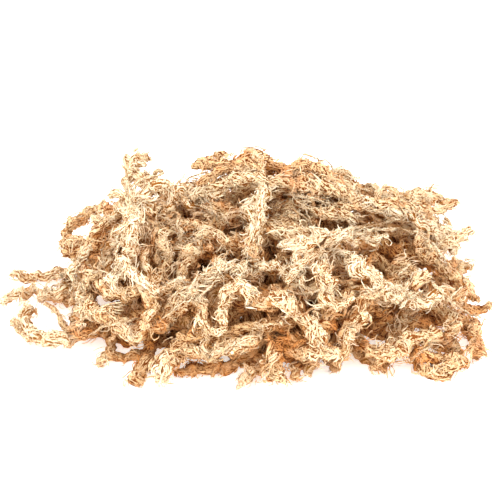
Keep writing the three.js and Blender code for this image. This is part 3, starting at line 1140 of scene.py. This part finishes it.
        size = reach * ((1 - self.small) / self.full_reach) + self.small
        size = size * self.draw(graph, seed, 6, *self.size)
        size = size * self.draw(graph, seed, 9, *self.bunch_size, bunch)
        shade = self.draw(graph, seed, 7, 0.0, 0.5) + self.draw(graph, seed, 10, 0.0, 0.5, bunch)
        grown = graph.add(
            "GeometryNodeInstanceOnPoints",
            {
                "Points": placed, "Instance": picked, "Pick Instance": True, "Rotation": rotation,
                "Instance Index": which.math("FLOOR"), "Scale": size,
            },
        )
        start = graph.vector("SCALE", out, Scale=reach * (self.look_from - root))
        start = graph.vector("ADD", place, start)
        grown = self.store(graph, grown, "shade", shade, "INSTANCE")
        # shelter also sets how much painted shade the material gives the branch.
        grown = self.store(graph, grown, "shelter", self.blocked(graph, heap, start), "INSTANCE")
        gone = graph.add(
            "FunctionNodeCompare",
            {"A": self.number(graph, "shelter"), "B": self.hidden},
            operation="GREATER_THAN",
            data_type="FLOAT",
        )
        values = {"Geometry": grown, "Selection": gone}
        return graph.add("GeometryNodeDeleteGeometry", values, domain="INSTANCE")

    def body_tube(self, graph: Graph, line: Wire, heap: Wire) -> Wire:
        """Adds the body, a tube along the line with ribs like a bundle of fibres.

        Args:
            graph: The tree's graph.
            line: The curve along the strand's middle.
            heap: The surface of all the strands.

        Returns:
            The body, with the place round the ring and the way along the strand as attributes.
        """
        plain = self.number(graph, "reach")
        values = {"Curve": line, "Length": self.body_step}
        sparse = graph.add("GeometryNodeResampleCurve", values, mode="LENGTH")
        way = graph.add("GeometryNodeSplineParameter", output="Length")
        marked = self.store(graph, sparse, "along", way)
        along = self.number(graph, "along")
        twisted = graph.add("GeometryNodeSetCurveTilt", {"Curve": marked, "Tilt": along * self.twist})
        values = {"Resolution": self.body_sides, "Radius": 1.0}
        circle = graph.add("GeometryNodeCurvePrimitiveCircle", values, mode="RADIUS")
        place = graph.add("GeometryNodeInputPosition")
        ringed = graph.add(
            "GeometryNodeStoreNamedAttribute",
            {"Geometry": circle, "Name": "ring", "Value": place},
            data_type="FLOAT_VECTOR",
            domain="POINT",
        )
        tube = graph.add(
            "GeometryNodeCurveToMesh",
            {"Curve": twisted, "Profile Curve": ringed, "Scale": plain * self.body, "Fill Caps": True},
        )
        ring = graph.add("GeometryNodeInputNamedAttribute", {"Name": "ring"}, data_type="FLOAT_VECTOR")
        forward = graph.add("ShaderNodeCombineXYZ", {"Z": along / self.rib_length})
        where = graph.vector("ADD", graph.vector("SCALE", ring, Scale=self.ribs), forward)
        ribs = graph.add("ShaderNodeTexNoise", {"Vector": where, "Scale": 1.0, "Detail": 1.0})
        ribs = ribs.between(0.3, 0.7)
        normal = graph.add("GeometryNodeInputNormal")
        lumps = (self.lumps(graph, place) - 1) * self.body
        offset = graph.vector("SCALE", normal, Scale=plain * (lumps + (ribs - self.rib_out) * self.rib))
        ribbed = graph.add("GeometryNodeSetPosition", {"Geometry": tube, "Offset": offset})
        start = graph.vector("SCALE", normal, Scale=plain * (self.look_from - self.body))
        # shelter also sets how much painted shade the material gives the body.
        shelter = self.blocked(graph, heap, graph.vector("ADD", place, start))
        for name, value in (("shade", BODY_SHADE), ("tip", BODY_TIP), ("body", 1.0), ("shelter", shelter)):
            ribbed = self.store(graph, ribbed, name, value)
        return ribbed


@dataclass
class Strand:
    """One strand of the heap, in the place of its solid in the frame."""

    node: str
    slot: str
    seed: int
    spacing: float
    heap: Heap
    crinkle: float = 1.5 * MM

    def spine(self) -> Spine:
        """Finds the middle of the strand's solid, and crinkles it a little.

        Returns:
            The spine.
        """
        spine = Spine.of(self.node)
        draw = np.random.default_rng(self.seed)
        spine.places[1:-1] += self.crinkle * smoothed(draw.normal(size=spine.places.shape), 1.2)[1:-1]
        spine.places[:, 2] = np.maximum(spine.places[:, 2], LOWEST_MIDDLE)
        return spine

    def line(self) -> bpy.types.Object:
        """Makes the strand's middle a chain of edges that carries how far the strand reaches out.

        Returns:
            The object that the strand is grown on.
        """
        spine = self.spine()
        steps = range(len(spine.places) - 1)
        mesh = bpy.data.meshes.new(f"{self.node}_line")
        mesh.from_pydata([tuple(p) for p in spine.places], [(i, i + 1) for i in steps], [])
        layer = mesh.attributes.new("reach", "FLOAT", "POINT")
        layer.data.foreach_set("value", spine.reach.astype(np.float32))
        piece = bpy.data.objects.new(f"{self.node}_moss", mesh)
        bpy.context.scene.collection.objects.link(piece)
        return piece

    def build(
        self, tree: bpy.types.NodeTree, branches: bpy.types.Collection, finish: bpy.types.Material
    ) -> bpy.types.Object:
        """Grows the branches, and makes the result a plain mesh.

        Args:
            tree: The tree that grows branches round a line.
            branches: The branches.
            finish: The strand's material.

        Returns:
            The finished piece.
        """
        piece = self.line()
        grow = piece.modifiers.new("grow", "NODES")
        grow.node_group = tree
        given = {
            "Branches": branches, "Kinds": len(branches.objects), "Heap": self.heap.piece,
            "Spacing": self.spacing, "Seed": self.seed, "Finish": finish,
        }
        for item in tree.interface.items_tree:
            if item.item_type == "SOCKET" and item.in_out == "INPUT" and item.name in given:
                grow[item.identifier] = given[item.name]
        shown = piece.evaluated_get(bpy.context.evaluated_depsgraph_get())
        mesh = bpy.data.meshes.new_from_object(shown)
        piece.modifiers.remove(grow)
        piece.data = mesh
        self.press_on_table(mesh)
        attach(piece, "root")
        if self.node in frame["nodes"]:
            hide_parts(self.node)
        return piece

    def press_on_table(self, mesh: bpy.types.Mesh, lowest: float = 0.05 * MM) -> None:
        """Presses the branches flat where they would go through the table.

        Args:
            mesh: The piece's mesh.
            lowest: How near the table a corner may come.
        """
        places = np.zeros(len(mesh.vertices) * 3)
        mesh.vertices.foreach_get("co", places)
        places[2::3] = np.maximum(places[2::3], lowest)
        mesh.vertices.foreach_set("co", places)
        mesh.update()


@dataclass
class Sprig(Strand):
    """A smaller piece that lies on the heap: a leafy tuft, or a stem that has lost most of its branches."""

    places: np.ndarray = field(default_factory=lambda: np.zeros((0, 3)))
    thick: float = 2.0 * MM

    def spine(self) -> Spine:
        """Follows the given places, crinkled a little, thinner towards both ends.

        Returns:
            The spine.
        """
        draw = np.random.default_rng(self.seed)
        share = np.linspace(0, 1, len(self.places))
        places = self.places + smoothed(draw.normal(size=self.places.shape), 0.9) * self.crinkle
        places[:, 2] = np.maximum(places[:, 2], LOWEST_MIDDLE)
        return Spine(places, self.thick * (0.5 + 0.5 * np.sin(math.pi * (0.1 + 0.8 * share))))


@dataclass(frozen=True)
class Placed:
    """Pieces of one sort whose places are given one by one. Sizes are in mm.

    Attributes:
        seed: The first piece's seed.
        lift: How far they lie out of the strands.
        still: How many places to both sides count for the depth of one.
        spacing: How far apart their branches grow.
        crinkle: How crinkled they are.
        rows: For each piece its name, its tone, its thickness, and the pixels that it passes.
    """

    seed: int
    lift: float
    still: float
    spacing: float
    crinkle: float
    rows: tuple[tuple[str, Tone, float, list[Pixel]], ...]

    def lay(self, heap: Heap, view: View) -> list[Sprig]:
        """Lays the pieces where the camera sees them.

        Args:
            heap: The strands that they lie on.
            view: The camera's view.

        Returns:
            The pieces.
        """
        made = []
        for number, (name, tone, thick, pixels) in enumerate(self.rows):
            seed = self.seed + SEED_STEP * number
            places = heap.seen(view, pixels, self.lift * MM, self.still)
            made.append(Sprig(
                name, tone.value, seed, self.spacing * MM, heap, self.crinkle * MM, places, thick * MM
            ))
        return made


@dataclass(frozen=True)
class Loose:
    """Many loose pieces of one sort, all over the heap or inside it. Sizes are in mm.

    Attributes:
        name: The start of their names.
        count: How many there are.
        length: The shortest and the longest one.
        thick: The thinnest and the thickest one.
        spacing: How far apart their branches grow.
        crinkle: How crinkled they are.
        lift: How far they lie out of the strands, or None for pieces inside the heap.
        bend: How far they may turn at each step, in radians.
        tones: The tones that they can have.
    """

    name: str
    count: int
    length: tuple[float, float]
    thick: tuple[float, float]
    spacing: float
    crinkle: float
    lift: float | None = None
    bend: float = 0.07
    tones: tuple[Tone, ...] = tuple(Tone)

    def scatter(self, heap: Heap, draw: np.random.Generator) -> list[Sprig]:
        """Lays the pieces.

        Args:
            heap: The strands that they lie on, or between where they have no lift.
            draw: The random draws.

        Returns:
            The pieces.
        """
        made = []
        for number in range(self.count):
            length, thick = draw.uniform(*self.length) * MM, draw.uniform(*self.thick) * MM
            if self.lift is None:
                places = heap.within(draw, length)
            else:
                places = heap.wander(draw, length, self.lift * MM, self.bend)
            tone = self.tones[draw.integers(len(self.tones))]
            seed = int(draw.integers(10**6, 10**7))
            name = f"{self.name}_{number + 1:02d}"
            made.append(Sprig(
                name, tone.value, seed, self.spacing * MM, heap, self.crinkle * MM, places, thick
            ))
        return made


@dataclass
class Studio:
    """The pale floor, the soft lights and the camera."""

    view: View
    sensor: float = 36.0
    floor_half: float = 3.0
    floor_white: float = 0.93
    floor_glow: Colour = (1, 0.95, 0.88)
    glow_strength: float = 0.6
    sky: Colour = (1, 0.988, 0.97)
    sky_strength: float = 2.43

    def build(self) -> None:
        """Makes everything in the studio."""
        bpy.context.scene.view_settings.view_transform = "Standard"
        self.floor()
        self.lights()
        self.camera()

    def floor(self) -> None:
        """Lays the floor just under the heap."""
        half = self.floor_half
        corners = [(-half, -half, 0), (half, -half, 0), (half, half, 0), (-half, half, 0)]
        piece = bpy.data.objects.new("floor", closed_mesh("floor", corners, [(0, 1, 2, 3)]))
        material = bpy.data.materials.new("floor")
        material.use_nodes = True
        surface = material.node_tree.nodes["Principled BSDF"]
        surface.inputs["Base Color"].default_value = (*[self.floor_white] * 3, 1)
        surface.inputs["Roughness"].default_value = 0.9
        surface.inputs["Emission Color"].default_value = (*self.floor_glow, 1)
        surface.inputs["Emission Strength"].default_value = self.glow_strength
        piece.data.materials.append(material)
        bpy.context.scene.collection.objects.link(piece)
        piece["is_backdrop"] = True

    def lights(self) -> None:
        """Hangs two large soft lights in a bright room."""
        world = bpy.data.worlds.new("room")
        world.use_nodes = True
        sky = world.node_tree.nodes["Background"].inputs
        sky["Color"].default_value = (*self.sky, 1)
        sky["Strength"].default_value = self.sky_strength
        bpy.context.scene.world = world
        for name, place, size, power in (
            ("key", (-0.35, -0.55, 0.9), 0.5, 1.2),
            ("fill", (0.7, -0.3, 0.7), 0.6, 0.8),
        ):
            light = bpy.data.lights.new(name, "AREA")
            light.size = size
            light.energy = power
            piece = bpy.data.objects.new(name, light)
            piece.location = place
            piece.rotation_euler = (CORE - Vector(place)).to_track_quat("-Z", "Y").to_euler()
            bpy.context.scene.collection.objects.link(piece)

    def camera(self) -> None:
        """Sets the camera up in front of the heap, a little above it."""
        lens = bpy.data.cameras.new("camera")
        lens.sensor_width = self.sensor
        lens.lens = self.sensor * self.view.distance / (self.view.image * self.view.pixel)
        lens.clip_start = 0.05
        piece = bpy.data.objects.new("camera", lens)
        piece.location = self.view.eye
        piece.rotation_euler = (-self.view.back).to_track_quat("-Z", "Y").to_euler()
        bpy.context.scene.collection.objects.link(piece)
        bpy.context.scene.camera = piece


# Leafy tufts on the heap
TUFTS = Placed(5000, 0.6, 5.0, 0.162, 0.0, (
    ("side_tuft", Tone.STRAW, 1.9, [(129, 204), (122, 195), (115, 192), (108, 197)]),
    ("hook_tuft", Tone.TAN, 1.5, [(44, 303), (54, 308), (61, 319), (66, 331), (76, 326), (88, 314)]),
    ("orange_tuft", Tone.RUST, 2.4, [(249, 238), (254, 248), (257, 262)]),
    ("rear_curl", Tone.TAN, 1.7, [(376, 203), (380, 191), (389, 187), (397, 192), (398, 201)]),
    ("right_curl", Tone.STRAW, 1.7, [(409, 206), (414, 196), (424, 194), (430, 201)]),
    ("right_point", Tone.TAN, 2.2, [(419, 208), (432, 212), (446, 208), (459, 201)]),
    ("right_head", Tone.STRAW, 3.0, [(440, 246), (452, 240), (463, 234), (471, 229)]),
    ("spike_high", Tone.RUST, 1.3, [(470, 330), (478, 336), (482, 346)]),
    ("spike_low", Tone.RUST, 1.3, [(466, 345), (473, 354), (478, 364)]),
    ("red_tip", Tone.RUST, 1.6, [(452, 300), (458, 296), (468, 288)]),
    ("ridge_left_low", Tone.STRAW, 3.4, [(190, 198), (208, 188), (230, 180), (252, 178), (272, 184)]),
    ("ridge_left_high", Tone.RUST, 2.6, [(198, 186), (212, 174), (228, 167), (246, 163), (262, 168)]),
    ("ridge_right_low", Tone.TAN, 3.4, [(268, 184), (288, 182), (310, 186), (334, 190), (352, 200)]),
    (
        "ridge_right_high", Tone.RUST, 2.8,
        [(280, 180), (290, 169), (304, 164), (318, 168), (331, 178), (341, 188)],
    ),
    ("slope_fill", Tone.STRAW, 3.0, [(300, 205), (322, 214), (345, 216), (368, 222)]),
    ("bow_frayed", Tone.CREAM, 2.6, [(286, 283), (298, 268), (314, 254), (330, 242), (346, 234)]),
    ("left_frayed", Tone.CREAM, 2.4, [(120, 256), (130, 270), (146, 284), (158, 292)]),
    ("fall_frayed", Tone.CREAM, 2.0, [(263, 186), (262, 205), (258, 228), (253, 244)]),
))

# Tufts that close the gaps between strands, deeper in the heap
FILLS = Placed(6000, -1.5, 5.0, 0.3, 0.5, (
    ("rear_fill", Tone.TAN, 3.3, [(328, 207), (345, 205), (362, 206), (385, 204), (405, 203), (418, 207)]),
    ("rear_left_fill", Tone.TAN, 3.0, [(203, 206), (217, 208), (233, 206)]),
    ("right_fill", Tone.TAN, 3.6, [(408, 292), (417, 283), (427, 274)]),
    ("side_fill", Tone.TAN, 2.8, [(386, 271), (397, 268), (409, 262)]),
    ("front_fill", Tone.TAN, 3.0, [(228, 314), (240, 313), (252, 308)]),
    ("front_right_fill", Tone.TAN, 3.0, [(372, 326), (383, 323), (394, 318)]),
    ("low_left_fill", Tone.TAN, 3.0, [(178, 336), (200, 341), (226, 336), (250, 328), (270, 332)]),
    ("low_middle_fill", Tone.STRAW, 3.2, [(284, 350), (300, 354), (316, 352), (334, 354)]),
    ("low_right_fill", Tone.STRAW, 3.2, [(356, 345), (372, 350), (388, 350), (405, 352)]),
    ("inner_right_fill", Tone.TAN, 3.2, [(404, 328), (418, 322), (434, 327)]),
    ("loop_fill", Tone.RUST, 3.6, [(414, 350), (424, 358), (436, 360), (446, 356)]),
))

# Stems that have lost most of their branches
STEMS = Placed(7000, 2.6, 2.5, 0.7, 0.3, (
    ("bow_stem", Tone.CREAM, 1.3, [(293, 273), (312, 256), (330, 240), (352, 229), (378, 225), (400, 220)]),
    ("arc_stem", Tone.CREAM, 0.9, [(368, 231), (395, 228), (420, 233), (436, 246), (447, 262)]),
    ("left_stem", Tone.STEM, 0.9, [(126, 168), (129, 186), (131, 204), (124, 224), (118, 240)]),
    ("top_stem", Tone.CREAM, 0.6, [(203, 185), (208, 200), (216, 214), (231, 224)]),
    ("right_stem", Tone.CREAM, 0.7, [(430, 281), (442, 292), (455, 305), (470, 315), (482, 317)]),
    ("left_low_stem", Tone.STEM, 0.6, [(88, 335), (104, 326), (124, 322), (140, 318)]),
    ("smile_stem", Tone.CREAM, 0.5, [(287, 289), (299, 294), (315, 292), (334, 285)]),
    ("stick_one", Tone.CREAM, 0.7, [(199, 272), (193, 285), (186, 299)]),
    ("stick_two", Tone.CREAM, 0.6, [(216, 281), (207, 291), (196, 299)]),
    ("hill_stem", Tone.CREAM, 0.8, [(284, 192), (298, 196), (318, 200), (334, 205)]),
    ("long_stem", Tone.CREAM, 0.5, [(337, 199), (360, 206), (384, 214), (402, 216)]),
    ("right_low_stem", Tone.CREAM, 0.7, [(418, 268), (408, 282), (401, 297), (388, 306)]),
))

LOOSE = (
    Loose("loose_stem", 90, (7, 24), (0.3, 0.6), 3.0, 0.5, lift=2.3, tones=(Tone.CREAM, Tone.STEM)),
    Loose("scrap", 140, (5, 13), (0.7, 2.0), 0.32, 0.9, lift=0.8, bend=0.16),
    Loose("inner_scrap", 160, (14, 30), (2.6, 4.0), 1.8, 0.5),
)


def slots() -> Iterator[tuple[str, str]]:
    """Gives each strand's node with its material slot, in the record's order."""
    for part in frame["record"]["subparts"]:
        yield part["node"], part["material_slot"]


def report(piece: bpy.types.Object) -> int:
    """Logs how many triangles a piece has.

    Args:
        piece: The piece.

    Returns:
        The number of its triangles.
    """
    triangles = sum(len(face.vertices) - 2 for face in piece.data.polygons)
    LOG.info("%s: %d triangles", piece.name, triangles)
    return triangles


def main() -> None:
    """Builds the studio and the heap, and reports each piece."""
    logging.basicConfig(level=logging.INFO, format="%(message)s", stream=sys.stdout)
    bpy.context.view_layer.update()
    view = View()
    Studio(view).build()
    materials = {finish.tone: finish.material() for finish in FINISHES}
    heap, tree, box = Heap(), StrandTree(), BranchBox()
    branches, grow = box.fill(), tree.build()
    strands = [
        Strand(node, slot, FIRST_SEED + SEED_STEP * number, tree.spacing, heap)
        for number, (node, slot) in enumerate(slots())
    ]
    for listed in (TUFTS, FILLS, STEMS):
        strands += listed.lay(heap, view)
    draw = np.random.default_rng(LOOSE_SEED)
    for kind in LOOSE:
        strands += kind.scatter(heap, draw)
    triangles = 0
    for strand in strands:
        piece = strand.build(grow, branches, materials[Tone(strand.slot)])
        triangles += report(piece)
    box.empty()
    heap.remove()
    LOG.info("%d triangles in all", triangles)


if __name__ == "__main__":
    main()
